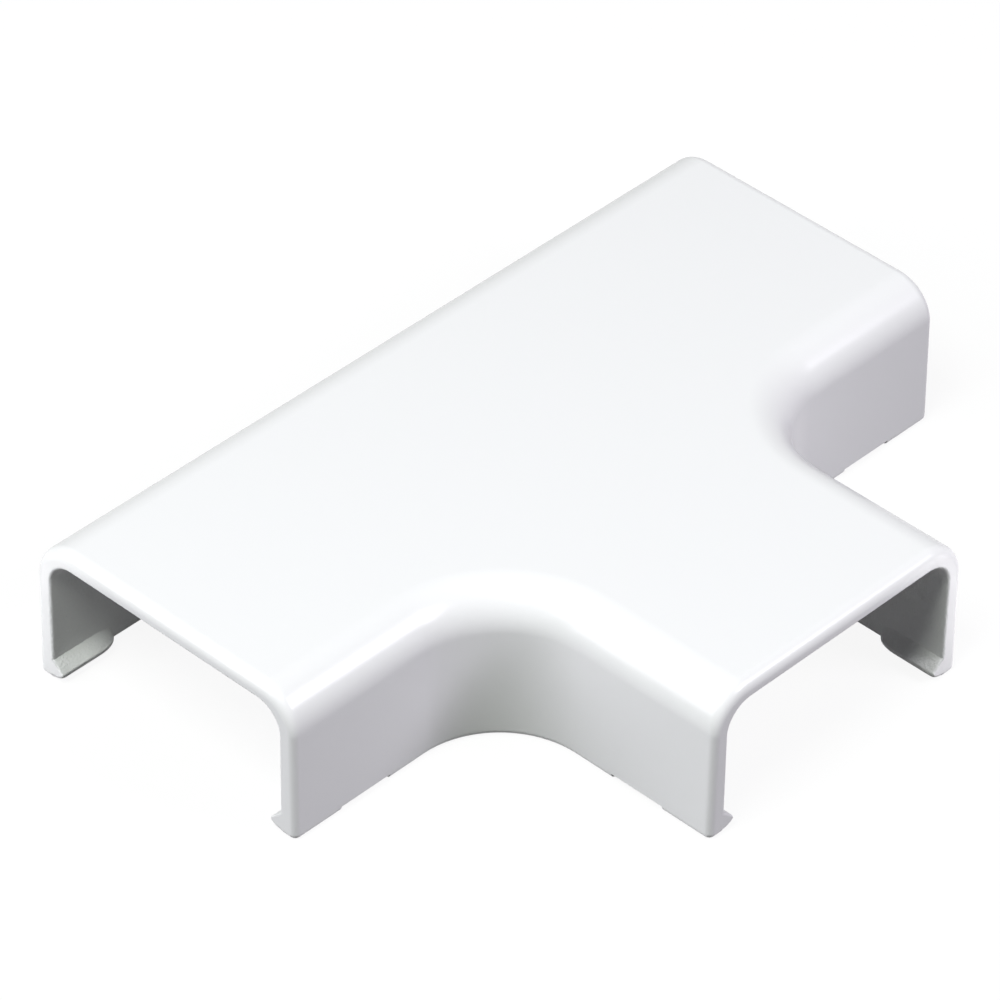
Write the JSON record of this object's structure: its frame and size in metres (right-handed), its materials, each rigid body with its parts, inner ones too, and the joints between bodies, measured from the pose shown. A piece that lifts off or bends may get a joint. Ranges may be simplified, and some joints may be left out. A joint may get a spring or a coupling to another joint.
{
  "type": "raceway tee cover",
  "caption": "White moulded tee cover for surface raceway, open underneath and at the arm ends, with rolled top edges, rounded inner corners and snap barbs inside the walls.",
  "frame": {"origin": "middle of the footprint, on the wall plane that the feet of the walls rest on", "axes": "+Z away from the wall, the run along X, the branch towards -Y"},
  "size_m": [0.111, 0.0772, 0.0211],
  "materials": {
    "cover_plastic": "white rigid plastic, smooth with a soft gloss"
  },
  "bodies": {
    "root": {"tee_cover": "cover_plastic"}
  },
  "joints": []
}
